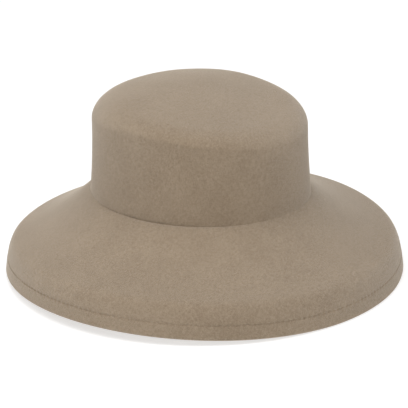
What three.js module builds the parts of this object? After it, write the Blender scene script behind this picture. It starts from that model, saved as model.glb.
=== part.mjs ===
// A wool felt hat, blocked from one piece of felt: an oval crown, a bell-shaped brim, and an
// edge turned under into a double hem.
//
// Millimetres, +Z up. The hat rests on its brim on z = 0, with its front towards -Y and the
// middle of its length and width on the Z axis.

import * as THREE from 'three';

// Felt
const FELT = 2; // thickness of one layer

// Head oval, outside of the felt, in the crease between crown and brim
const HEAD_WIDTH = 173;
const HEAD_LENGTH = 190;

// Crown
const RIM_HEIGHT = 82.5; // from the crease up to where the shoulder would lie level
const TOP_RISE = 6; // middle of the top above that
const WALL_LEAN = 3; // how far the wall leans in on its way up
const SHOULDER_RUN = 33; // half width of the ellipse that rounds the wall into the top
const SHOULDER_DROP = 21; // half height of the same ellipse
const CREASE_RADIUS = 3;

// Brim
const BRIM_REACH = 77; // from the crease out to the edge, measured level
const BRIM_DROP = 68.2; // from the crease down to the surface that the hat rests on
const SIDE_LIFT = 7.3; // how far the edge rises at the left and right
const PRESSED = 0.4; // how much of that rise is pressed flat, in front and behind

// Hem
const HEM_DEPTH = 15; // from the fold up to the raw edge, along the felt
const FOLD_FLAT = THREE.MathUtils.degToRad(25); // half of the fold's arc that lies flat

// How the hat changes from side to side, as shares of the named sizes. `turn` is added to
// the brim's slopes, in degrees.
const SIDES = [
  { side: 'front', rim: 0.893, shoulder: 0.8, reach: 0.99, turn: 1 },
  { side: 'flank', rim: 1.003, shoulder: 0.68, reach: 1.054, turn: -2 },
  { side: 'back', rim: 1.05, shoulder: 1.3, reach: 0.909, turn: 3 },
];
const [FRONT, FLANK, BACK] = SIDES;

// The brim's slope below level, in degrees, at shares of the felt from crease to fold. It
// changes evenly from row to row, so each stretch is an arc. `turns` says how much of a
// side's turn the row takes, and `steps` how many bands the stretch up to the row has.
const BELL = [
  { share: 0, slope: 42, turns: 1, steps: 0 },
  { share: 0.12, slope: 39, turns: 1, steps: 1 },
  { share: 0.7, slope: 19, turns: 1, steps: 5 },
  { share: 0.772, slope: 65, turns: 0, steps: 4 },
  { share: 0.89, slope: 84, turns: 0, steps: 2 },
  { share: 1, slope: 78, turns: 0, steps: 2 },
];

// Fineness of the mesh
const STATIONS = 72; // round the head oval
const TOP_STEPS = 4;
const SHOULDER_STEPS = 5;
const WALL_STEPS = 3;
const CREASE_STEPS = 2;
const HEM_STEPS = 2;
const CLEAR_OF_HEM = 0.95; // how near the hem's raw edge the rows above it may come

const toRadians = THREE.MathUtils.degToRad;
const DOME_EDGE_SLOPE = 2 * TOP_RISE; // fall of a parabola at its edge, per share of its radius

// A place round the hat: a point of the head oval, the direction straight out from it, and
// how far it faces the front (1) or back (-1), and front or back (1) or a flank (-1).
function station(index) {
  const angle = (2 * Math.PI * index) / STATIONS;
  const x = (HEAD_WIDTH / 2) * Math.sin(angle);
  const y = (HEAD_LENGTH / 2) * Math.cos(angle);
  const out = new THREE.Vector2(Math.sin(angle) / HEAD_WIDTH, Math.cos(angle) / HEAD_LENGTH);
  const bearing = Math.atan2(x, -y);
  return {
    x,
    y,
    out: out.normalize(),
    frontness: Math.cos(bearing),
    lengthness: Math.cos(2 * bearing),
  };
}

// One column of the table of sides, carried smoothly round the hat.
function bySide(column, place) {
  const mean = (FRONT[column] + BACK[column] + 2 * FLANK[column]) / 4;
  const foreAft = (FRONT[column] - BACK[column]) / 2;
  const saddle = (FRONT[column] + BACK[column] - 2 * FLANK[column]) / 4;
  return mean + foreAft * place.frontness + saddle * place.lengthness;
}

// A point of the felt's outer face in the upright section through a station: how far out of
// the head oval it is, how high, and the face's slope below level there.
const point = (out, height, slope) => ({ out, height, slope });

// The same point on a face that lies deeper in the felt.
function deeper(p, depth) {
  return point(p.out - depth * Math.sin(p.slope), p.height - depth * Math.cos(p.slope), p.slope);
}

// The unscaled bell curve from the crease to a share of its length: each stretch of evenly
// changing slope is an arc, so its run and fall are the chord of that arc. An arc that does
// not bend is its own chord.
function bellCurve(share, turn) {
  let run = 0;
  let fall = 0;
  let slope = toRadians(BELL[0].slope + BELL[0].turns * turn);
  for (let i = 1; i < BELL.length && BELL[i - 1].share < share; i += 1) {
    const rowSlope = toRadians(BELL[i].slope + BELL[i].turns * turn);
    const stretch = BELL[i].share - BELL[i - 1].share;
    const part = Math.min(share - BELL[i - 1].share, stretch);
    const bend = ((rowSlope - slope) * part) / stretch;
    const chord = bend === 0 ? part : (part * Math.sin(bend / 2)) / (bend / 2);
    run += chord * Math.cos(slope + bend / 2);
    fall += chord * Math.sin(slope + bend / 2);
    slope += bend;
  }
  return { run, fall, slope };
}

// Everything that a section needs to know of its station.
function sectionSizes(place) {
  const hemSlope = toRadians(BELL[BELL.length - 1].slope);
  const turn = bySide('turn', place);
  const whole = bellCurve(1, turn);
  const rise = (SIDE_LIFT * (1 - place.lengthness)) / 2;
  const edge = Math.max(rise - PRESSED, 0);
  const foldHeight = edge + FELT * Math.cos(FOLD_FLAT);
  const reach = BRIM_REACH * bySide('reach', place);
  const drop = BRIM_DROP - foldHeight - FELT * Math.cos(hemSlope);
  const runScale = reach / whole.run;
  const fallScale = drop / whole.fall;
  const feltLength = (runScale + fallScale) / 2;
  const shoulderRun = SHOULDER_RUN * bySide('shoulder', place);
  const shoulderDrop = SHOULDER_DROP * bySide('shoulder', place);
  const topRadius = Math.hypot(place.x, place.y) - WALL_LEAN - shoulderRun;
  return {
    turn,
    hemSlope,
    foldHeight,
    runScale,
    fallScale,
    rawShare: 1 - HEM_DEPTH / feltLength,
    rim: RIM_HEIGHT * bySide('rim', place),
    shoulderRun,
    shoulderDrop,
    shoulderStart: Math.atan((DOME_EDGE_SLOPE / topRadius) * (shoulderRun / shoulderDrop)),
  };
}

// The brim's outer face at a share of its felt.
function brimPoint(share, sizes) {
  const { run, fall, slope } = bellCurve(share, sizes.turn);
  const out = sizes.runScale * run;
  const height = BRIM_DROP - sizes.fallScale * fall;
  const fallRate = sizes.fallScale * Math.sin(slope);
  const runRate = sizes.runScale * Math.cos(slope);
  return point(out, height, Math.atan2(fallRate, runRate));
}

// The crown's shoulder, from the rim of the top out and down to the wall: the quarter of an
// ellipse, less the first of it, so that it takes over the slope of the domed top.
function shoulderPoints(sizes) {
  const points = [];
  for (let i = 0; i <= SHOULDER_STEPS; i += 1) {
    const angle = THREE.MathUtils.lerp(sizes.shoulderStart, Math.PI / 2, i / SHOULDER_STEPS);
    const out = -WALL_LEAN - sizes.shoulderRun * (1 - Math.sin(angle));
    const height = BRIM_DROP + sizes.rim - sizes.shoulderDrop * (1 - Math.cos(angle));
    const slope = Math.atan2(
      Math.sin(angle) * sizes.shoulderDrop,
      Math.cos(angle) * sizes.shoulderRun,
    );
    points.push(point(out, height, slope));
  }
  return points;
}

// The wall bows out by a parabola, upright at the shoulder and leaning most at the crease.
function wallPoints(sizes) {
  const wallHeight = sizes.rim - sizes.shoulderDrop;
  const points = [];
  for (let i = WALL_STEPS - 1; i > 0; i -= 1) {
    const share = i / WALL_STEPS;
    const lean = WALL_LEAN * share * (2 - share);
    const leanRate = (WALL_LEAN * 2 * (1 - share)) / wallHeight;
    const slope = Math.PI / 2 - Math.atan(leanRate);
    points.push(point(-lean, BRIM_DROP + wallHeight * share, slope));
  }
  return points;
}

// A fillet that eases the wall into the brim.
function creasePoints(sizes) {
  const wallSlope = Math.PI / 2 - Math.atan((2 * WALL_LEAN) / (sizes.rim - sizes.shoulderDrop));
  const brimSlope = brimPoint(0, sizes).slope;
  const tangent = CREASE_RADIUS * Math.tan((wallSlope - brimSlope) / 2);
  const centreOut = -tangent * Math.cos(wallSlope) + CREASE_RADIUS * Math.sin(wallSlope);
  const centreHeight = BRIM_DROP + tangent * Math.sin(wallSlope) + CREASE_RADIUS * Math.cos(wallSlope);
  const points = [];
  for (let i = 0; i <= CREASE_STEPS; i += 1) {
    const slope = THREE.MathUtils.lerp(wallSlope, brimSlope, i / CREASE_STEPS);
    const out = centreOut - CREASE_RADIUS * Math.sin(slope);
    const height = centreHeight - CREASE_RADIUS * Math.cos(slope);
    points.push(point(out, height, slope));
  }
  return points;
}

// The shares of the brim's felt at which the mesh has a row.
function brimShares() {
  const shares = [];
  for (let i = 1; i < BELL.length; i += 1) {
    for (let step = 1; step <= BELL[i].steps; step += 1) {
      shares.push(THREE.MathUtils.lerp(BELL[i - 1].share, BELL[i].share, step / BELL[i].steps));
    }
  }
  return shares;
}

// The inner face has the same rows down to the end of the bend, where the sides' turns have
// run out, and then the rest of them spread down to the raw edge. A hem so deep that it
// reaches the bend draws the rows above it together.
function innerShares(rawShare) {
  const bendEnd = BELL.find((row) => row.turns === 0).share;
  const innerEnd = Math.min(bendEnd, rawShare * CLEAR_OF_HEM);
  return brimShares().map((share) => {
    if (share <= bendEnd) {
      return (share * innerEnd) / bendEnd;
    }
    return THREE.MathUtils.mapLinear(share, bendEnd, 1, innerEnd, rawShare);
  });
}

// The fold: an arc from the outer face, round below, to the inner face of the turned-under
// layer, with its lowest stretch a flat facet. Angles are measured from straight down.
function foldPoints(sizes) {
  const centre = deeper(brimPoint(1, sizes), FELT);
  const outerEnd = Math.PI - sizes.hemSlope;
  const angles = [
    (outerEnd + FOLD_FLAT) / 2,
    FOLD_FLAT,
    -FOLD_FLAT,
    -(sizes.hemSlope + FOLD_FLAT) / 2,
    -sizes.hemSlope,
  ];
  return angles.map((angle) => {
    const out = centre.out + FELT * Math.sin(angle);
    return point(out, sizes.foldHeight - FELT * Math.cos(angle), sizes.hemSlope);
  });
}

// The inner face of the turned-under layer, from the fold up to its raw edge.
function hemPoints(sizes) {
  const points = [];
  for (let i = 1; i <= HEM_STEPS; i += 1) {
    const share = THREE.MathUtils.lerp(1, sizes.rawShare, i / HEM_STEPS);
    points.push(deeper(brimPoint(share, sizes), 2 * FELT));
  }
  return points;
}

// The closed section through one station, from the rim down the outer face, round the fold,
// and back up the inner face to below the rim.
function section(sizes) {
  const crown = [...shoulderPoints(sizes), ...wallPoints(sizes), ...creasePoints(sizes)];
  const outer = brimShares().map((share) => brimPoint(share, sizes));
  const inner = innerShares(sizes.rawShare).map((share) => brimPoint(share, sizes));
  return [
    ...crown,
    ...outer,
    ...foldPoints(sizes),
    ...hemPoints(sizes),
    ...[...crown, ...inner].reverse().map((p) => deeper(p, FELT)),
  ];
}

// The crown's top, from the middle (share 0) to the rim (share 1): a low dome that meets the
// rim's own height and the shoulder's slope there, tilted as the rim is from front to back.
function topHeight(share, rimHeight, place) {
  const level = BRIM_DROP + (RIM_HEIGHT * (FRONT.rim + BACK.rim + 2 * FLANK.rim)) / 4;
  const middle = level + TOP_RISE;
  const tilt = ((RIM_HEIGHT * (FRONT.rim - BACK.rim)) / 2) * place.frontness;
  const fall = rimHeight - tilt - middle;
  const fourth = -(DOME_EDGE_SLOPE / 2 + fall);
  const dome = (fall - fourth) * share ** 2 + fourth * share ** 4;
  return middle + dome + (tilt * (3 * share - share ** 3)) / 2;
}

// Where a section point stands in space.
function placed(p, place) {
  return new THREE.Vector3(place.x + place.out.x * p.out, place.y + place.out.y * p.out, p.height);
}

// One upright column of the mesh, from the middle of the top, down and round the section,
// back to the middle of the crown's inside.
function column(index) {
  const place = station(index);
  const points = section(sectionSizes(place)).map((p) => placed(p, place));
  const rim = points[0];
  const top = [];
  for (let i = 0; i < TOP_STEPS; i += 1) {
    const share = i / TOP_STEPS;
    top.push(new THREE.Vector3(rim.x * share, rim.y * share, topHeight(share, rim.z, place)));
  }
  const inside = top.map((p) => new THREE.Vector3(p.x, p.y, p.z - FELT)).reverse();
  return [...top, ...points, ...inside];
}

// A lathe gives the closed mesh, and each of its columns is then set to the hat's own
// section at that station.
function feltGeometry() {
  const columns = [];
  for (let i = 0; i < STATIONS; i += 1) {
    columns.push(column(i));
  }
  const profile = columns[0].map((p) => new THREE.Vector2(p.y, p.z));
  const geometry = new THREE.LatheGeometry(profile, STATIONS);
  const positions = geometry.getAttribute('position');
  for (let i = 0; i <= STATIONS; i += 1) {
    columns[i % STATIONS].forEach((p, row) => {
      positions.setXYZ(i * profile.length + row, p.x, p.y, p.z);
    });
  }
  geometry.computeVertexNormals();
  return geometry;
}

const felt = new THREE.MeshStandardMaterial({ color: 0x9f8d76, roughness: 0.95, metalness: 0 });

const feltBody = new THREE.Mesh(feltGeometry(), felt);
feltBody.name = 'felt_body';

// The brim reaches further in front than behind, so the head oval stands that much back.
const hat = new THREE.Group();
hat.position.y = (BRIM_REACH * (FRONT.reach - BACK.reach)) / 2;
hat.add(feltBody);

export default hat;
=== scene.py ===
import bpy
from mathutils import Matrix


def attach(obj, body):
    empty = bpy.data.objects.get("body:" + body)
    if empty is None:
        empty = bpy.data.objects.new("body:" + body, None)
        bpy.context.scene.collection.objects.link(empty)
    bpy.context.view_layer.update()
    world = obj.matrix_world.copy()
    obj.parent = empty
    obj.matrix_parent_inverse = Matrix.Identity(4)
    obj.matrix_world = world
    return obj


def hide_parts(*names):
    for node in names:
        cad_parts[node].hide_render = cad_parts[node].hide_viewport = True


bl_info = {
    "name": "Wool Felt Hat",
    "version": (1, 0, 0),
    "blender": (4, 5, 0),
    "location": "View3D > Sidebar > Hat",
    "description": "Blocked felt hat with a bell-shaped brim and a stitched hem",
    "category": "Object",
}

import math

import bpy
import numpy as np
from bpy.props import FloatProperty, FloatVectorProperty, IntProperty, PointerProperty
from mathutils import Matrix, Vector

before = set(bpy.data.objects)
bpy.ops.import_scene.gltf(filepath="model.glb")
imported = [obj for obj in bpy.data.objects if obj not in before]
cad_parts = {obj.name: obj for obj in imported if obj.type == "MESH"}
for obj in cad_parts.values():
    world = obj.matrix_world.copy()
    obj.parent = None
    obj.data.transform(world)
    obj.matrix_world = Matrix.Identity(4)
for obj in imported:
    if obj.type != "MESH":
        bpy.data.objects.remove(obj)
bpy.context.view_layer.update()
MM = 0.001
# Points round the hat in each ring of the felt, and rings in each stretch of its skin.
STATIONS = 300
TOP_RINGS = 20
SHOULDER_RINGS = 27
WALL_RINGS = 24
CREASE_RINGS = 9
BRIM_RINGS = 54
GROOVE_RINGS = 29
HEM_RINGS = 14
FOLD_RINGS = 15
UNDER_RINGS = 24
INSIDE_RINGS = 30
# Power that sets the wall's rings closer together towards its foot.
WALL_SPREAD = 1.3
# Share of the brim's felt that the fillet in the crease takes up.
FILLET_SHARE = 0.03
# Half of the strip of felt about the stitches in which the rings stand closer together.
GROOVE_STRIP = 3.2 * MM
# Gaps between the rings of the turned-under layer and the fold, and below its raw edge.
UNDER_GAPS = (0.4 * MM, 0.7 * MM)
# Part of the groove's depth that the turned-under layer shows.
INNER_GROOVE = 0.4
# Power of the share in the puff: the lower, the closer its highest place to the stitches.
PUFF_POWER = 0.55
# The path round the raw edge of the turned-under layer and into the slit behind it: height
# above the edge in millimetres, and depth below the outer face in layers of felt.
RAW_EDGE = (
    (-0.35, 1.97),
    (-0.1, 1.88),
    (0.0, 1.7),
    (0.0, 1.4),
    (-0.15, 1.16),
    (-0.5, 1.08),
    (-1.1, 1.03),
    (-0.5, 0.97),
    (0.0, 0.93),
    (0.6, 0.97),
    (1.6, 1.0),
)
# The felt's slow waves: height, waves round the hat, phase, and turn of it from the crown's
# middle to the edge.
WAVES = (
    (0.9, 2, 0.7, 1.6),
    (0.7, 3, 2.1, -2.3),
    (0.5, 5, 4.0, 3.1),
    (0.35, 8, 1.3, -4.2),
)
# Reach at which those waves are read, at the crown's rim and at the crease. It is 1 at the edge.
RIM_REACH = 0.25
CREASE_REACH = 0.55
# Power of the waves' fading to the middle and the edge, and the share of the brim's felt over
# which they start on the inner face.
WAVE_FADE = 0.7
WAVE_START = 0.1
# Weights of clouds, flecks and hairs in the felt's colour, and of the last two in its height.
COLOUR_WEIGHTS = (0.45, 1.25, 2.2)
HEIGHT_WEIGHTS = (0.6, 1.1)
# Value of the pattern at which the felt has its main colour.
MAIN_VALUE = 0.5
# How fast the painted sheen along the outline fades inwards, as a power.
SHEEN_FRINGE_POWER = 7.0
# Width of the dents that the stitches make in the felt, and their part of the bump.
DENT_WIDTH = 1.6 * MM
DENT_SHARE = 0.35
# Stitch threads: rings along one, points round it, and how uneven stitches are, as shares of
# the pitch and the length, and in degrees of slant. LEAN is the slant that they all share.
THREAD_RINGS = 9
THREAD_SIDES = 7
STRAY_PLACE = 0.05
STRAY_LENGTH = 0.06
STRAY_SLANT = 3.0
LEAN = 4.0
# In thicknesses of the thread: how far its arch rises, how deep its ends go in, how high it
# lies over the felt outside and inside, and how thick it is where it ends.
ARCH = 0.55
SINK = 0.35
OUTER_LEVEL = 0.3
INNER_LEVEL = 0.25
THREAD_END = 0.02
# The thread's light and dark wool, as parts of its colour, and the scale of its hairs.
THREAD_LIGHT = 1.25
THREAD_DARK = 0.75
THREAD_HAIRS = 4000.0
# Half of the floor's width, and the point that the lamps are aimed at.
FLOOR_HALF = 6.0
LAMP_AIM = (0.0, 0.0, 0.07)
# Lamps: name, azimuth and elevation in degrees, distance and width in metres, power in watts.
LAMPS = (
    ("overhead", -55.0, 83.0, 2.0, 1.6, 27.0),
    ("right", -18.0, 24.0, 2.0, 1.3, 5.6),
    ("behind", 125.0, 20.0, 2.0, 1.3, 5.2),
    ("left_high", -135.0, 48.0, 2.0, 1.3, 9.2),
    ("left_low", -130.0, 9.0, 2.0, 0.7, 2.6),
)
# Shares of the brim's felt, from the crease to the fold, at which its slope is given.
BELL_SHARES = (0.0, 0.12, 0.7, 0.772, 0.89, 1.0)
# How much of a side's turn each of those slopes takes.
BELL_TURNS = (1.0, 1.0, 1.0, 0.0, 0.0, 0.0)


# ---------------------------------------------------------------- settings


def size(name, description, millimetres):
    """A size that the user can change, given in millimetres."""
    return FloatProperty(
        name=name, description=description, default=millimetres * MM, unit="LENGTH"
    )


def angle(name, description, degrees):
    """An angle that the user can change, given in degrees."""
    return FloatProperty(
        name=name, description=description, default=math.radians(degrees), subtype="ANGLE"
    )


def per_side(name, description, values):
    """A value for the front, one for the flanks and one for the back."""
    return FloatVectorProperty(
        name=name,
        description=description + ": front, flanks and back",
        default=values,
        precision=3,
    )


def colour(name, description, values):
    """A colour that the user can change, as linear red, green and blue."""
    return FloatVectorProperty(
        name=name, description=description, default=values, subtype="COLOR"
    )


class HatSizes(bpy.types.PropertyGroup):
    """Sizes of the blocked felt, as in the solid part."""

    felt: size("Felt", "Thickness of one layer", 2)
    head_width: size("Head Width", "Across the oval in the crease, outside", 173)
    head_length: size("Head Length", "Front to back of the oval in the crease, outside", 190)
    rim_height: size("Rim Height", "From the crease to where the shoulder would lie level", 82.5)
    top_rise: size("Top Rise", "Middle of the crown's top above its rim", 6)
    wall_lean: size("Wall Lean", "How far the crown's wall leans in", 3)
    shoulder_run: size("Shoulder Run", "Half width of the ellipse round the crown's edge", 33)
    shoulder_drop: size("Shoulder Drop", "Half height of that ellipse", 21)
    crease_radius: size("Crease Radius", "Fillet between crown and brim", 1.5)
    crease_pinch: size("Crease Pinch", "How deep the crease is pressed in", 1.3)
    pinch_by_side: per_side(
        "Pinch by Side",
        "Root of the share of the crease pinch",
        (0.25, 0.9, -0.3),
    )
    draw_in: size("Draw In", "How far the wall's foot is drawn in over the crease", 1.2)
    draw_height: size("Draw Height", "Height over which that fades", 10)
    brim_reach: size("Brim Reach", "From the crease out to the edge", 77)
    brim_drop: size("Brim Drop", "From the crease down to the surface below", 68.2)
    side_lift: size("Side Lift", "Rise of the edge at the left and right", 7.3)
    pressed: size("Pressed", "Part of that rise pressed flat in front and behind", 0.4)
    hem_depth: size("Hem Depth", "From the fold up to the raw edge", 15)
    fold_flat: angle("Fold Flat", "Half of the fold's arc that lies flat", 25)
    rim_by_side: per_side(
        "Rim by Side",
        "Share of the rim height",
        (0.893, 1.003, 1.05),
    )
    shoulder_by_side: per_side(
        "Shoulder by Side",
        "Share of the shoulder",
        (0.8, 0.68, 1.3),
    )
    reach_by_side: per_side(
        "Reach by Side",
        "Share of the brim reach",
        (0.99, 1.054, 0.909),
    )
    turn_by_side: per_side(
        "Turn by Side",
        "Added to the brim's slopes, in degrees",
        (1, -2, 3),
    )
    bell_slopes: FloatVectorProperty(
        name="Bell Slopes",
        description="Slope of the brim below level, from crease to fold",
        size=len(BELL_SHARES),
        default=[math.radians(slope) for slope in (36, 39, 19.5, 65, 84, 78)],
        unit="ROTATION",
    )
    waver: size("Waver", "How far the soft felt strays from the block's even shape", 0.35)


class HemSizes(bpy.types.PropertyGroup):
    """Sizes of the row of stitches that holds the hem."""

    height: size("Height", "From the fold up to the stitches, along the felt", 10.69)
    pitch: size("Pitch", "From one stitch to the next", 4.7)
    length: size("Length", "Length of thread seen in one stitch", 3.7)
    thread: size("Thread", "Thickness of the thread", 0.5)
    groove: size("Groove", "How deep the stitches pull the felt in", 0.24)
    groove_width: size("Groove Width", "Half width of that groove", 0.6)
    puff: size("Puff", "How far the folded edge stands proud below the stitches", 0.35)
    seed: IntProperty(
        name="Seed", description="Changes the small unevenness of the stitches", default=4
    )


class FeltLook(bpy.types.PropertyGroup):
    """Colours of the felt and its thread, and of the painted sheen along the felt's outline."""

    wool: colour("Wool", "Main colour of the felt", (0.403, 0.305, 0.209))
    light_wool: colour("Light Wool", "Paler hairs in it", (0.497, 0.386, 0.275))
    dark_wool: colour("Dark Wool", "Darker hairs in it", (0.30, 0.219, 0.143))
    # Painted sheen: the paler colour that the felt's colour goes over to at grazing angles along
    # the outline, standing in for light caught by the loose fibres.
    painted_sheen: colour("Nap", "Colour of the loose fibres seen along the outline", (0.72, 0.61, 0.48))
    thread: colour("Thread", "Colour of the stitches", (0.37, 0.28, 0.191))


class StageSettings(bpy.types.PropertyGroup):
    """Floor, light and camera."""

    floor: colour("Floor", "Colour of the floor", (0.5, 0.5, 0.5))
    glow: FloatProperty(
        name="Glow", description="Light that the floor gives off, as a lit table does", default=0.63
    )
    sky: FloatProperty(
        name="Sky", description="Strength of the even light from all round", default=0.175
    )
    camera_azimuth: angle("Camera Azimuth", "Where the camera stands, round from the front", -55)
    camera_elevation: angle("Camera Elevation", "How far above level the camera stands", 20.829)
    camera_roll: angle("Camera Roll", "Turn of the camera about its own line of sight", -0.914)
    camera_distance: FloatProperty(
        name="Camera Distance",
        description="From the camera to the point it looks at",
        default=1.9,
        unit="LENGTH",
    )
    camera_lens: FloatProperty(
        name="Camera Lens", description="Focal length in millimetres", default=200.44
    )
    camera_aim: FloatVectorProperty(
        name="Camera Aim",
        description="Point that the camera looks at",
        default=(-0.00394, -0.00325, 0.05667),
        subtype="TRANSLATION",
        unit="LENGTH",
    )


# ---------------------------------------------------------------- surfaces


def by_side(values, around):
    """A front, flank and back value carried smoothly round the hat: their mean, plus half the
    difference of front and back times the cosine of the bearing, plus a quarter of what front
    and back have over the flanks times the cosine of twice the bearing."""
    front, flank, back = values
    mean = (front + back + 2 * flank) / 4
    return (
        mean
        + (front - back) / 2 * np.cos(around["bearing"])
        + (front + back - 2 * flank) / 4 * np.cos(2 * around["bearing"])
    )


def around_head(sizes):
    """The head oval at evenly spaced angles: x and y are half its width and length times the
    sine and cosine of the angle, and the way out is at right angles to it there."""
    turned = 2 * np.pi * np.arange(STATIONS) / STATIONS
    out_x = np.sin(turned) / sizes.head_width
    out_y = np.cos(turned) / sizes.head_length
    scale = np.hypot(out_x, out_y)
    around = {
        "x": sizes.head_width / 2 * np.sin(turned),
        "y": sizes.head_length / 2 * np.cos(turned),
        "out_x": out_x / scale,
        "out_y": out_y / scale,
    }
    around["bearing"] = np.arctan2(around["x"], -around["y"])
    turn = np.radians(by_side(sizes.turn_by_side, around))
    rise = sizes.side_lift * (1 - np.cos(2 * around["bearing"])) / 2
    around["turn"] = turn
    around["edge"] = np.maximum(rise - sizes.pressed, 0)
    around["fold_height"] = around["edge"] + sizes.felt * math.cos(sizes.fold_flat)
    drop = sizes.brim_drop - around["fold_height"] - sizes.felt * math.cos(sizes.bell_slopes[-1])
    run, fall, _ = bell_curve(sizes, 1.0, turn)
    around["run_scale"] = sizes.brim_reach * by_side(sizes.reach_by_side, around) / run
    around["fall_scale"] = drop / fall
    around["felt_length"] = (around["run_scale"] + around["fall_scale"]) / 2
    around["shift"] = sizes.brim_reach * (sizes.reach_by_side[0] - sizes.reach_by_side[2]) / 2
    return around


def bell_curve(sizes, share, turn):
    """Run, fall and slope of the unscaled brim at shares of its felt. Its slope changes evenly
    between the given ones, so each stretch is an arc, and its chord is the stretch times the
    sine of half its bend over half its bend."""
    share = np.asarray(share)
    slopes = [s + t * turn for s, t in zip(sizes.bell_slopes, BELL_TURNS)]
    run = fall = 0.0
    slope = slopes[0] + 0 * share
    for i in range(1, len(BELL_SHARES)):
        stretch = BELL_SHARES[i] - BELL_SHARES[i - 1]
        part = np.clip(share - BELL_SHARES[i - 1], 0, stretch)
        bend = (slopes[i] - slopes[i - 1]) * part / stretch
        chord = part * np.sinc(bend / 2 / np.pi)
        run = run + chord * np.cos(slopes[i - 1] + bend / 2)
        fall = fall + chord * np.sin(slopes[i - 1] + bend / 2)
        slope = slope + bend
    return run, fall, slope


def brim_face(sizes, around, share, depth):
    """The brim's face at shares of its felt and depths below the outer face: the bell curve
    times its run and fall scales, moved in against its slope by the depth."""
    run, fall, slope = bell_curve(sizes, share, around["turn"])
    out = around["run_scale"] * run
    height = sizes.brim_drop - around["fall_scale"] * fall
    tilt = np.arctan2(around["fall_scale"] * np.sin(slope), around["run_scale"] * np.cos(slope))
    return out - depth * np.sin(tilt), height - depth * np.cos(tilt), tilt


def hem_relief(hem, distance):
    """How far the outer face stands proud of the block at a distance from the fold: a bell
    shaped groove at the stitches, and a low round puff between them and the fold."""
    from_stitches = distance - hem.height
    groove = -hem.groove * np.exp(-((from_stitches / hem.groove_width) ** 2))
    below = np.clip(-from_stitches / hem.height, 0, 1)
    puff = hem.puff * np.sin(np.pi * below**PUFF_POWER)
    return groove + puff


def wavering(sizes, around, reach):
    """A slow unevenness of hand-blocked felt: a few waves round the hat, each with its own
    phase, which grow from nothing at the crown's middle (reach 0) to the brim (reach 1)."""
    waves = sum(
        height * np.sin(count * around["bearing"] + phase + turn * reach)
        for height, count, phase, turn in WAVES
    )
    fade = np.sin(np.pi * np.clip(reach, 0, 1)) ** WAVE_FADE
    return sizes.waver * waves * fade


def crown_rows(sizes, around):
    """The crown's outer face below its rim, row by row: part of a quarter ellipse for the
    shoulder, a wall that leans in by a parabola, and an arc that eases it into the brim. The
    wall's foot is drawn in by an amount that falls off exponentially with the height above the
    crease, and the arc's radius grows by the pinch times the square of the sine of its share."""
    factor = by_side(sizes.shoulder_by_side, around)
    run, drop = sizes.shoulder_run * factor, sizes.shoulder_drop * factor
    rim = sizes.rim_height * by_side(sizes.rim_by_side, around)
    radius = np.hypot(around["x"], around["y"]) - sizes.wall_lean - run
    start = np.arctan(2 * sizes.top_rise / radius * run / drop)
    turned = start + (np.pi / 2 - start) * np.linspace(0, 1, SHOULDER_RINGS)[:, None]
    out = [-sizes.wall_lean - run * (1 - np.sin(turned))]
    height = [sizes.brim_drop + rim - drop * (1 - np.cos(turned))]
    slope = [np.arctan2(np.sin(turned) * drop, np.cos(turned) * run)]
    tall = rim - drop
    side = by_side(sizes.pinch_by_side, around) ** 2
    share = np.linspace(1, 0, WALL_RINGS)[1:-1, None] ** WALL_SPREAD
    drawn = sizes.draw_in * side * np.exp(-tall * share / sizes.draw_height)
    out.append(-sizes.wall_lean * share * (2 - share) - drawn)
    height.append(sizes.brim_drop + tall * share)
    lean = 2 * sizes.wall_lean * (1 - share) / tall - drawn / sizes.draw_height
    slope.append(np.pi / 2 - np.arctan(lean))
    wall = np.pi / 2 - np.arctan(2 * sizes.wall_lean / tall)
    brim = brim_face(sizes, around, 0.0, 0.0)[2]
    r = sizes.crease_radius
    tangent = r * np.tan((wall - brim) / 2)
    share = np.linspace(0, 1, CREASE_RINGS)[:, None]
    bend = wall + (brim - wall) * share
    pinch = sizes.crease_pinch * side * np.sin(np.pi * share) ** 2
    drawn = sizes.draw_in * side * (1 - share)
    out.append(-tangent * np.cos(wall) + r * np.sin(wall) - (r + pinch) * np.sin(bend) - drawn)
    foot = sizes.brim_drop + tangent * np.sin(wall)
    height.append(foot + r * np.cos(wall) - (r + pinch) * np.cos(bend))
    slope.append(bend)
    return np.concatenate(out), np.concatenate(height), np.concatenate(slope)


def top_rows(sizes, around, rim_x, rim_y, rim_z):
    """The crown's top as rows from near its middle out to its rim: a dome whose height is a
    square and a fourth power of the share of the radius, tilted from front to back by half of
    three times that share less its cube."""
    front, flank, back = sizes.rim_by_side
    middle = sizes.brim_drop + sizes.rim_height * (front + back + 2 * flank) / 4 + sizes.top_rise
    tilt = sizes.rim_height * (front - back) / 2 * np.cos(around["bearing"])
    share = (np.arange(1, TOP_RINGS) / TOP_RINGS)[:, None]
    fall = rim_z - tilt - middle
    fourth = -(sizes.top_rise + fall)
    height = middle + (fall - fourth) * share**2 + fourth * share**4
    height = height + tilt * (3 * share - share**3) / 2
    return rim_x * share, rim_y * share, height, middle


def brim_shares(around, hem):
    """Shares of the brim's felt for its rows, closer together at the stitches' groove."""
    strip = hem.height + GROOVE_STRIP * np.linspace(1, -1, GROOVE_RINGS)[:, None]
    groove = 1 - strip / around["felt_length"]
    upper = np.linspace(FILLET_SHARE, 1, BRIM_RINGS)[:-1, None] * groove[0]
    lower = groove[-1] + (1 - groove[-1]) * np.linspace(0, 1, HEM_RINGS)[1:, None]
    return np.concatenate([upper, groove, lower])


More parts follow.
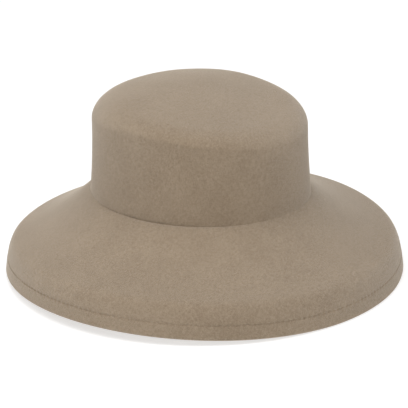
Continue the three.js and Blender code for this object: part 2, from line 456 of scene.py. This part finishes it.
def felt_surface(sizes, hem):
    """The whole closed skin of the felt as rings: from the top's middle down the outer face,
    round the fold, up the turned-under layer to its raw edge, and up the inner face. Each ring
    is the head oval moved out along its normals. Also gives, for the outer face and the hem,
    the distance from the fold, as the second coordinate of a map on the surface."""
    around = around_head(sizes)
    crown_out, crown_height, crown_slope = crown_rows(sizes, around)
    rows = crown_out.shape[0]
    # Outer face
    share = brim_shares(around, hem)
    out, height, slope = brim_face(sizes, around, share, 0.0)
    distance = (1 - share) * around["felt_length"]
    relief = hem_relief(hem, distance)
    crown_reach = RIM_REACH + (CREASE_REACH - RIM_REACH) * np.linspace(0, 1, rows)[:, None]
    stray = np.concatenate([
        wavering(sizes, around, crown_reach),
        wavering(sizes, around, CREASE_REACH + (1 - CREASE_REACH) * share),
    ])
    guide_out = np.concatenate([crown_out, out])
    guide_height = np.concatenate([crown_height, height])
    guide_slope = np.concatenate([crown_slope, slope])
    lift = stray + np.concatenate([0 * crown_out, relief])
    outer = (guide_out + lift * np.sin(guide_slope), guide_height + lift * np.cos(guide_slope))
    outer_map = np.concatenate([distance[0] + sizes.crease_radius + 0 * crown_out, distance])
    # Fold: an arc about a point one layer deep, with its lowest part flat
    centre_out, _, tilt = brim_face(sizes, around, 1.0, sizes.felt)
    arc = np.pi - tilt - np.pi * np.linspace(0, 1, FOLD_RINGS)[1:-1, None]
    fold_out = centre_out + sizes.felt * np.sin(arc)
    fold_height = np.maximum(around["fold_height"] - sizes.felt * np.cos(arc), around["edge"])
    # Turned-under layer, raw edge with a narrow slit behind it, and inner face
    length = around["felt_length"]
    up = np.linspace(UNDER_GAPS[0], sizes.hem_depth - UNDER_GAPS[1], UNDER_RINGS)
    edge_up = sizes.hem_depth + MM * np.array(RAW_EDGE)[:, 0]
    edge_depth = sizes.felt * np.array(RAW_EDGE)[:, 1]
    dent = INNER_GROOVE * hem.groove * np.exp(-(((up - hem.height) / hem.groove_width) ** 2))
    inner_up = np.concatenate([up, edge_up])[:, None]
    inner_depth = np.concatenate([2 * sizes.felt - dent, edge_depth])[:, None]
    hem_share = 1 - inner_up / length
    hem_out, hem_height, _ = brim_face(sizes, around, hem_share, inner_depth)
    inner_share = hem_share[-1] * np.linspace(1, FILLET_SHARE, INSIDE_RINGS)[1:, None]
    inner_out, inner_height, inner_slope = brim_face(sizes, around, inner_share, sizes.felt)
    inner_stray = wavering(sizes, around, CREASE_REACH + (1 - CREASE_REACH) * inner_share)
    fade = np.clip((hem_share[-1] - inner_share) / WAVE_START, 0, 1)
    inner_out = inner_out + inner_stray * fade * np.sin(inner_slope)
    inner_height = inner_height + inner_stray * fade * np.cos(inner_slope)
    back_out = crown_out + (stray[:rows] - sizes.felt) * np.sin(crown_slope)
    back_height = crown_height + (stray[:rows] - sizes.felt) * np.cos(crown_slope)
    chain_out = np.concatenate([outer[0], fold_out, hem_out, inner_out, back_out[::-1]])
    chain_height = np.concatenate([
        outer[1], fold_height, hem_height, inner_height, back_height[::-1]
    ])
    chain_map = np.concatenate([
        outer_map,
        0 * fold_out,
        inner_up + 0 * hem_out,
        (1 - inner_share) * length,
        distance[0] + 0 * back_out,
    ])
    x = around["x"] + around["out_x"] * chain_out
    y = around["y"] + around["out_y"] * chain_out
    # Top, outside and inside
    top_x, top_y, top_z, middle = top_rows(sizes, around, x[0], y[0], chain_height[0])
    low_x, low_y, low_z, low_middle = top_rows(
        sizes, around, x[-1], y[-1], chain_height[-1] + sizes.felt
    )
    x = np.concatenate([top_x, x, low_x[::-1]])
    y = np.concatenate([top_y, y, low_y[::-1]]) + around["shift"]
    z = np.concatenate([top_z, chain_height, low_z[::-1] - sizes.felt])
    far = distance[0] + 0 * top_x
    surface_map = np.concatenate([far, chain_map, far])
    poles = [(0, around["shift"], middle), (0, around["shift"], low_middle - sizes.felt)]
    return np.stack([x, y, z], -1), poles, surface_map, around


def closed_mesh(name, rings, poles, surface_map, along):
    """A mesh of rings that close on themselves, joined row to row by four-sided faces and to
    a pole at either end by fans. Its map holds the length along the edge and the distance
    from the fold."""
    rows, count = rings.shape[:2]
    points = np.concatenate([rings.reshape(-1, 3), np.array(poles)])
    i = np.arange(rows - 1)[:, None] * count
    j = np.arange(count)
    k = (j + 1) % count
    below = i + count
    quads = np.stack(np.broadcast_arrays(i + j, i + k, below + k, below + j), -1).reshape(-1, 4)
    first, last = rows * count, rows * count + 1
    base = (rows - 1) * count
    fans = np.concatenate([
        np.stack([np.full(count, first), k, j], -1),
        np.stack([np.full(count, last), base + j, base + k], -1),
    ])
    mesh = bpy.data.meshes.new(name)
    mesh.from_pydata(points.tolist(), [], quads.tolist() + fans.tolist())
    mesh.polygons.foreach_set("use_smooth", np.ones(len(mesh.polygons), bool))
    ends = np.append(along, total_length(along))
    u = np.stack(np.broadcast_arrays(ends[j], ends[j + 1], ends[j + 1], ends[j]), -1)
    u = np.broadcast_to(u, (rows - 1, count, 4)).reshape(-1)
    v = np.stack([
        surface_map[:-1], surface_map[:-1][:, k], surface_map[1:][:, k], surface_map[1:],
    ], -1).reshape(-1)
    first_u = np.stack([ends[j], ends[j + 1], ends[j]], -1).reshape(-1)
    last_u = np.stack([ends[j], ends[j], ends[j + 1]], -1).reshape(-1)
    cap_v = np.full(first_u.shape, surface_map[0, 0])
    layer = mesh.uv_layers.new(name="felt_map")
    flat = np.stack([np.concatenate([u, first_u, last_u]), np.concatenate([v, cap_v, cap_v])], -1)
    layer.data.foreach_set("uv", flat.ravel())
    mesh.update()
    return mesh


def place(mesh, material):
    """Puts a finished mesh into the scene at the origin, with its material."""
    piece = bpy.data.objects.new(mesh.name, mesh)
    bpy.context.scene.collection.objects.link(piece)
    mesh.materials.append(material)
    return piece


# ---------------------------------------------------------------- stitches


def stitch_line(sizes, hem, around):
    """The line of stitches on the outer face at a fixed distance from the fold, with the
    length walked along it from the first station."""
    share = 1 - hem.height / around["felt_length"]
    out, height, tilt = brim_face(sizes, around, share, 0.0)
    x = around["x"] + around["out_x"] * out
    y = around["y"] + around["out_y"] * out + around["shift"]
    points = np.stack([x, y, height], -1)
    steps = np.linalg.norm(np.roll(points, -1, 0) - points, axis=1)
    along = np.concatenate([[0], np.cumsum(steps)[:-1]])
    return {"points": points, "tilt": tilt, "along": along, "total": steps.sum()}


def total_length(along):
    """Length of the closed line of stitches, its last step taken as long as its first."""
    return along[-1] + along[1] - along[0]


def stitch_count(hem, along):
    """Whole number of stitches that comes closest to the wanted pitch."""
    return max(8, round(total_length(along) / hem.pitch))


def stitch_points(sizes, hem, around, line, count, side):
    """Rings of points for every stitch: a thread laid along the line, whose radius is half its
    thickness times the root of one less the fourth power of its share, and which is arched by
    a parabola so that its ends go into the felt."""
    random = np.random.default_rng(hem.seed)
    total = line["total"]
    ends = np.append(line["along"], total)
    closed = np.concatenate([line["points"], line["points"][:1]])
    tilt = np.append(line["tilt"], line["tilt"][0])
    out_x = np.append(around["out_x"], around["out_x"][0])
    out_y = np.append(around["out_y"], around["out_y"][0])
    middle = (np.arange(count) + 0.5) * total / count
    middle = middle + STRAY_PLACE * hem.pitch * random.standard_normal(count)
    lengths = hem.length * (1 + STRAY_LENGTH * random.standard_normal(count))
    slant = np.radians(STRAY_SLANT) * random.standard_normal(count) + np.radians(LEAN)
    u = np.linspace(-1, 1, THREAD_RINGS)[None, :]
    walked = (middle[:, None] + u * lengths[:, None] / 2) % total
    base = np.stack([np.interp(walked, ends, closed[:, a]) for a in range(3)], -1)
    lean = np.interp(walked, ends, tilt)
    way_x, way_y = np.interp(walked, ends, out_x), np.interp(walked, ends, out_y)
    normal = np.stack([way_x * np.sin(lean), way_y * np.sin(lean), np.cos(lean)], -1)
    down = np.stack([way_x * np.cos(lean), way_y * np.cos(lean), -np.sin(lean)], -1)
    if side > 0:
        level = -hem.groove + OUTER_LEVEL * hem.thread
    else:
        level = -(2 * sizes.felt - INNER_GROOVE * hem.groove) - INNER_LEVEL * hem.thread
    arch = side * ARCH * hem.thread * (1 - u**2) - side * SINK * hem.thread
    radius = hem.thread / 2 * np.sqrt(np.maximum(1 - u**4, 0)) + THREAD_END * hem.thread
    sideways = u * lengths[:, None] / 2 * np.sin(slant)[:, None]
    centre = base + normal * (level + arch)[..., None] + down * sideways[..., None]
    turn = 2 * np.pi * np.arange(THREAD_SIDES) / THREAD_SIDES
    ring = np.cos(turn)[:, None] * down[:, :, None] + np.sin(turn)[:, None] * normal[:, :, None]
    return centre[:, :, None] + radius[..., None, None] * ring


def stitch_mesh(name, threads):
    """One mesh of many short threads: rings joined by four-sided faces, and each end closed
    by one face."""
    count, rows, sides = threads.shape[:3]
    points = threads.reshape(-1, 3)
    start = np.arange(count)[:, None, None] * rows * sides
    i = np.arange(rows - 1)[None, :, None] * sides
    j = np.arange(sides)[None, None, :]
    k = (j + 1) % sides
    here, above = start + i, start + i + sides
    quads = np.stack(np.broadcast_arrays(here + j, here + k, above + k, above + j), -1)
    caps = start[:, 0] + np.arange(sides)[::-1]
    tails = start[:, 0] + (rows - 1) * sides + np.arange(sides)
    mesh = bpy.data.meshes.new(name)
    faces = quads.reshape(-1, 4).tolist() + caps.tolist() + tails.tolist()
    mesh.from_pydata(points.tolist(), [], faces)
    mesh.polygons.foreach_set("use_smooth", np.ones(len(mesh.polygons), bool))
    mesh.update()
    return mesh


# ---------------------------------------------------------------- materials


def wool_pattern():
    """The node group with the felt's pattern, made at its first use: broad cloudy patches,
    small flecks and fine matted hairs, each from noise on the given coordinates. Their weighted
    sum, moved so that its mean is a half and stretched about it by the contrast, goes from the
    dark wool at 0 by the main one at a half to the light one at 1. The height is the weighted
    sum of flecks and hairs."""
    if "wool_pattern" in bpy.data.node_groups:
        return bpy.data.node_groups["wool_pattern"]
    group = bpy.data.node_groups.new("wool_pattern", "ShaderNodeTree")
    sockets = group.interface
    vector = sockets.new_socket("Vector", in_out="INPUT", socket_type="NodeSocketVector")
    vector.hide_value = True
    for label in ("Wool", "Light Wool", "Dark Wool"):
        sockets.new_socket(label, in_out="INPUT", socket_type="NodeSocketColor")
    for label, value in (
        ("Cloud Scale", 30.0),
        ("Fleck Scale", 560.0),
        ("Hair Scale", 1150.0),
        ("Contrast", 1.0),
    ):
        socket = sockets.new_socket(label, in_out="INPUT", socket_type="NodeSocketFloat")
        socket.default_value = value
    sockets.new_socket("Color", in_out="OUTPUT", socket_type="NodeSocketColor")
    sockets.new_socket("Height", in_out="OUTPUT", socket_type="NodeSocketFloat")
    nodes, links = group.nodes, group.links
    given = nodes.new("NodeGroupInput")
    result = nodes.new("NodeGroupOutput")

    def noise(scale, detail, distortion):
        """Noise at the scale that the named input gives."""
        node = nodes.new("ShaderNodeTexNoise")
        node.inputs["Detail"].default_value = detail
        node.inputs["Roughness"].default_value = 0.6
        node.inputs["Distortion"].default_value = distortion
        links.new(given.outputs["Vector"], node.inputs["Vector"])
        links.new(given.outputs[scale], node.inputs["Scale"])
        return node.outputs["Fac"]

    def sum_of(a, weight, b):
        """The first value times a weight plus the last, which is a number or another value."""
        node = nodes.new("ShaderNodeMath")
        node.operation = "MULTIPLY_ADD"
        links.new(a, node.inputs[0])
        node.inputs[1].default_value = weight
        if isinstance(b, float):
            node.inputs[2].default_value = b
        else:
            links.new(b, node.inputs[2])
        return node.outputs[0]

    def shift_towards(colour, other, end):
        """The colour, which goes over to another one evenly from the main value to the end."""
        amount = nodes.new("ShaderNodeMapRange")
        amount.inputs["From Min"].default_value = MAIN_VALUE
        amount.inputs["From Max"].default_value = end
        links.new(stretched.outputs[0], amount.inputs["Value"])
        mix = nodes.new("ShaderNodeMix")
        mix.data_type = "RGBA"
        links.new(amount.outputs[0], mix.inputs["Factor"])
        links.new(colour, mix.inputs["A"])
        links.new(given.outputs[other], mix.inputs["B"])
        return mix.outputs["Result"]

    cloud = noise("Cloud Scale", detail=3.0, distortion=0.4)
    fleck = noise("Fleck Scale", detail=3.0, distortion=0.8)
    hair = noise("Hair Scale", detail=4.0, distortion=2.5)
    # Each noise has a mean of a half.
    to_cloud, to_fleck, to_hair = COLOUR_WEIGHTS
    moved = MAIN_VALUE - sum(COLOUR_WEIGHTS) / 2
    mottle = sum_of(cloud, to_cloud, sum_of(fleck, to_fleck, sum_of(hair, to_hair, moved)))
    centred = nodes.new("ShaderNodeMath")
    centred.operation = "SUBTRACT"
    links.new(mottle, centred.inputs[0])
    centred.inputs[1].default_value = MAIN_VALUE
    stretched = nodes.new("ShaderNodeMath")
    stretched.operation = "MULTIPLY_ADD"
    links.new(centred.outputs[0], stretched.inputs[0])
    links.new(given.outputs["Contrast"], stretched.inputs[1])
    stretched.inputs[2].default_value = MAIN_VALUE
    lighter = shift_towards(given.outputs["Wool"], "Light Wool", 1.0)
    links.new(shift_towards(lighter, "Dark Wool", 0.0), result.inputs["Color"])
    fleck_height, hair_height = HEIGHT_WEIGHTS
    height = sum_of(fleck, fleck_height, sum_of(hair, hair_height, 0.0))
    links.new(height, result.inputs["Height"])
    return group


def wool_material(name, group, colours, painted_sheen, contrast, bump_height, sheen):
    """A matt woollen finish: the pattern's colour and bump on a rough surface with a soft
    sheen. Towards grazing angles the colour goes over to a painted sheen colour, which stands
    for light caught by the loose fibres, by a power of how far the surface is turned away."""
    material = bpy.data.materials.new(name)
    material.use_nodes = True
    nodes, links = material.node_tree.nodes, material.node_tree.links
    shader = nodes["Principled BSDF"]
    place_on = nodes.new("ShaderNodeTexCoord")
    pattern = nodes.new("ShaderNodeGroup")
    pattern.node_tree = group
    links.new(place_on.outputs["Object"], pattern.inputs["Vector"])
    for label, colour in zip(("Wool", "Light Wool", "Dark Wool"), colours):
        pattern.inputs[label].default_value = (*colour, 1.0)
    pattern.inputs["Contrast"].default_value = contrast
    # Painted sheen: towards grazing angles the base colour is mixed over to the sheen colour.
    facing = nodes.new("ShaderNodeLayerWeight")
    facing.inputs["Blend"].default_value = 0.5
    grazing = nodes.new("ShaderNodeMath")
    grazing.operation = "POWER"
    links.new(facing.outputs["Facing"], grazing.inputs[0])
    grazing.inputs[1].default_value = SHEEN_FRINGE_POWER
    sheen_fringe = nodes.new("ShaderNodeMix")
    sheen_fringe.data_type = "RGBA"
    links.new(grazing.outputs[0], sheen_fringe.inputs["Factor"])
    links.new(pattern.outputs["Color"], sheen_fringe.inputs["A"])
    sheen_fringe.inputs["B"].default_value = (*painted_sheen, 1.0)
    links.new(sheen_fringe.outputs["Result"], shader.inputs["Base Color"])
    bump = nodes.new("ShaderNodeBump")
    bump.inputs["Strength"].default_value = 1.0
    bump.inputs["Distance"].default_value = bump_height
    links.new(pattern.outputs["Height"], bump.inputs["Height"])
    links.new(bump.outputs["Normal"], shader.inputs["Normal"])
    shader.inputs["Roughness"].default_value = 0.95
    shader.inputs["Specular IOR Level"].default_value = 0.15
    shader.inputs["Sheen Weight"].default_value = sheen
    shader.inputs["Sheen Roughness"].default_value = 0.5
    shader.inputs["Sheen Tint"].default_value = (1.0, 0.96, 0.9, 1.0)
    return material, bump, pattern


def add_stitch_dents(material, bump, pattern, hem, pitch):
    """Adds to the felt's bump the small dents that each stitch makes: along the edge a cosine
    of one wave a stitch, times a bell shape across it about the row of stitches."""
    nodes, links = material.node_tree.nodes, material.node_tree.links
    on_map = nodes.new("ShaderNodeUVMap")
    on_map.uv_map = "felt_map"
    split = nodes.new("ShaderNodeSeparateXYZ")
    links.new(on_map.outputs["UV"], split.inputs["Vector"])

    def math_node(operation, *values):
        """One step of sums on values, each a number or the output of another step."""
        node = nodes.new("ShaderNodeMath")
        node.operation = operation
        for socket, value in zip(node.inputs, values):
            if isinstance(value, float):
                socket.default_value = value
            else:
                links.new(value, socket)
        return node.outputs[0]

    wave = math_node("COSINE", math_node("MULTIPLY", split.outputs["X"], 2 * math.pi / pitch))
    above_row = math_node("SUBTRACT", split.outputs["Y"], hem.height)
    away = math_node("MULTIPLY", above_row, 1 / DENT_WIDTH)
    bell = math_node("EXPONENT", math_node("MULTIPLY", math_node("MULTIPLY", away, away), -1.0))
    dents = math_node("MULTIPLY", math_node("MULTIPLY", wave, bell), DENT_SHARE)
    total = math_node("SUBTRACT", pattern.outputs["Height"], dents)
    links.new(total, bump.inputs["Height"])


# ---------------------------------------------------------------- stage


def direction(azimuth, elevation):
    """The way from the hat to something seen at an azimuth round from the front and an
    elevation above level."""
    level = math.cos(elevation)
    return Vector((math.sin(azimuth) * level, -math.cos(azimuth) * level, math.sin(elevation)))


def floor_paint(stage):
    """A matt pale paint that gives off light of its own, as a lit table does."""
    paint = bpy.data.materials.new("pale_floor")
    paint.use_nodes = True
    shader = paint.node_tree.nodes["Principled BSDF"]
    shader.inputs["Base Color"].default_value = (*stage.floor, 1.0)
    shader.inputs["Roughness"].default_value = 0.9
    shader.inputs["Specular IOR Level"].default_value = 0.0
    shader.inputs["Emission Color"].default_value = (1.0, 1.0, 1.0, 1.0)
    shader.inputs["Emission Strength"].default_value = stage.glow
    return paint


def place_lamps(scene):
    """Sets each lamp away from the aim in its direction by its distance, facing the aim."""
    for name, azimuth, elevation, distance, width, power in LAMPS:
        lamp = bpy.data.lights.new(name, "AREA")
        lamp.shape = "DISK"
        lamp.size = width
        lamp.energy = power
        holder = bpy.data.objects.new(name, lamp)
        scene.collection.objects.link(holder)
        away = direction(math.radians(azimuth), math.radians(elevation))
        holder.location = Vector(LAMP_AIM) + away * distance
        holder.rotation_euler = away.to_track_quat("Z", "Y").to_euler()


def place_camera(scene, stage):
    """Sets the camera back from its aim by its distance, looking at it, with its roll."""
    data = bpy.data.cameras.new("view")
    data.sensor_width = 36.0
    data.lens = stage.camera_lens
    data.clip_start = 0.05
    camera = bpy.data.objects.new("view", data)
    scene.collection.objects.link(camera)
    back = direction(stage.camera_azimuth, stage.camera_elevation)
    right = Vector((math.cos(stage.camera_azimuth), math.sin(stage.camera_azimuth), 0))
    up = back.cross(right)
    roll = stage.camera_roll
    rolled_right = right * math.cos(roll) + up * math.sin(roll)
    rolled_up = up * math.cos(roll) - right * math.sin(roll)
    turned = Matrix((rolled_right, rolled_up, back)).transposed()
    spot = Vector(stage.camera_aim) + back * stage.camera_distance
    camera.matrix_world = Matrix.Translation(spot) @ turned.to_4x4()
    scene.camera = camera


# ---------------------------------------------------------------- operators


class HAT_OT_felt(bpy.types.Operator):
    """Makes the felt: crown, brim, turned-under hem and the inside, as one closed skin"""

    bl_idname = "hat.felt"
    bl_label = "Make Felt"

    def execute(self, context):
        scene = context.scene
        sizes, hem, look = scene.hat_sizes, scene.hat_hem, scene.hat_look
        rings, poles, surface_map, around = felt_surface(sizes, hem)
        along = stitch_line(sizes, hem, around)["along"]
        mesh = closed_mesh("felt", rings, poles, surface_map, along)
        material, bump, pattern = wool_material(
            "wool_felt",
            wool_pattern(),
            (look.wool, look.light_wool, look.dark_wool),
            look.painted_sheen,
            contrast=1.3,
            bump_height=0.7 * MM,
            sheen=0.5,
        )
        pitch = total_length(along) / stitch_count(hem, along)
        add_stitch_dents(material, bump, pattern, hem, pitch)
        felt = place(mesh, material)
        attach(felt, "root")
        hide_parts("felt_body")
        return {"FINISHED"}


class HAT_OT_stitches(bpy.types.Operator):
    """Makes the row of stitches that holds the hem, outside and inside"""

    bl_idname = "hat.stitches"
    bl_label = "Make Hem Stitches"

    def execute(self, context):
        scene = context.scene
        sizes, hem, look = scene.hat_sizes, scene.hat_hem, scene.hat_look
        around = around_head(sizes)
        line = stitch_line(sizes, hem, around)
        count = stitch_count(hem, line["along"])
        outside = stitch_points(sizes, hem, around, line, count, 1)
        inside = stitch_points(sizes, hem, around, line, count, -1)
        mesh = stitch_mesh("hem_stitches", np.concatenate([outside, inside]))
        light = [min(1, THREAD_LIGHT * c) for c in look.thread]
        dark = [THREAD_DARK * c for c in look.thread]
        material, _, pattern = wool_material(
            "sewing_thread",
            wool_pattern(),
            (look.thread, light, dark),
            look.thread,
            contrast=0.6,
            bump_height=0.05 * MM,
            sheen=0.2,
        )
        pattern.inputs["Hair Scale"].default_value = THREAD_HAIRS
        stitches = place(mesh, material)
        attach(stitches, "root")
        return {"FINISHED"}


class HAT_OT_stage(bpy.types.Operator):
    """Lays the floor, sets soft studio light and places the camera"""

    bl_idname = "hat.stage"
    bl_label = "Set Stage"

    def execute(self, context):
        scene = context.scene
        stage = scene.hat_stage
        half = FLOOR_HALF
        mesh = bpy.data.meshes.new("floor")
        corners = [(-half, -half, 0), (half, -half, 0), (half, half, 0), (-half, half, 0)]
        mesh.from_pydata(corners, [], [(0, 1, 2, 3)])
        place(mesh, floor_paint(stage))
        world = bpy.data.worlds.new("studio")
        world.use_nodes = True
        background = world.node_tree.nodes["Background"]
        background.inputs["Color"].default_value = (1.0, 1.0, 1.0, 1.0)
        background.inputs["Strength"].default_value = stage.sky
        scene.world = world
        place_lamps(scene)
        place_camera(scene, stage)
        scene.view_settings.view_transform = "Standard"
        scene.view_settings.look = "None"
        return {"FINISHED"}


# ---------------------------------------------------------------- panel


class HAT_PT_panel(bpy.types.Panel):
    """Lists the steps that make the hat and its settings"""

    bl_idname = "HAT_PT_panel"
    bl_label = "Felt Hat"
    bl_space_type = "VIEW_3D"
    bl_region_type = "UI"
    bl_category = "Hat"

    def draw(self, context):
        layout = self.layout
        for operator in (HAT_OT_felt, HAT_OT_stitches, HAT_OT_stage):
            layout.operator(operator.bl_idname)
        for setting, _ in SETTINGS:
            group = getattr(context.scene, setting)
            box = layout.box()
            for name in group.bl_rna.properties.keys():
                if name not in ("rna_type", "name"):
                    box.prop(group, name)


CLASSES = (
    HatSizes,
    HemSizes,
    FeltLook,
    StageSettings,
    HAT_OT_felt,
    HAT_OT_stitches,
    HAT_OT_stage,
    HAT_PT_panel,
)
SETTINGS = (
    ("hat_sizes", HatSizes),
    ("hat_hem", HemSizes),
    ("hat_look", FeltLook),
    ("hat_stage", StageSettings),
)


def register():
    """Adds the operators, the panel and the settings."""
    for kind in CLASSES:
        bpy.utils.register_class(kind)
    for name, group in SETTINGS:
        setattr(bpy.types.Scene, name, PointerProperty(type=group))


def unregister():
    """Takes them away again."""
    for name, _ in SETTINGS:
        delattr(bpy.types.Scene, name)
    for kind in reversed(CLASSES):
        bpy.utils.unregister_class(kind)


def main():
    """Makes the hat and its stage."""
    register()
    bpy.ops.hat.felt()
    bpy.ops.hat.stitches()
    bpy.ops.hat.stage()


if __name__ == "__main__":
    main()
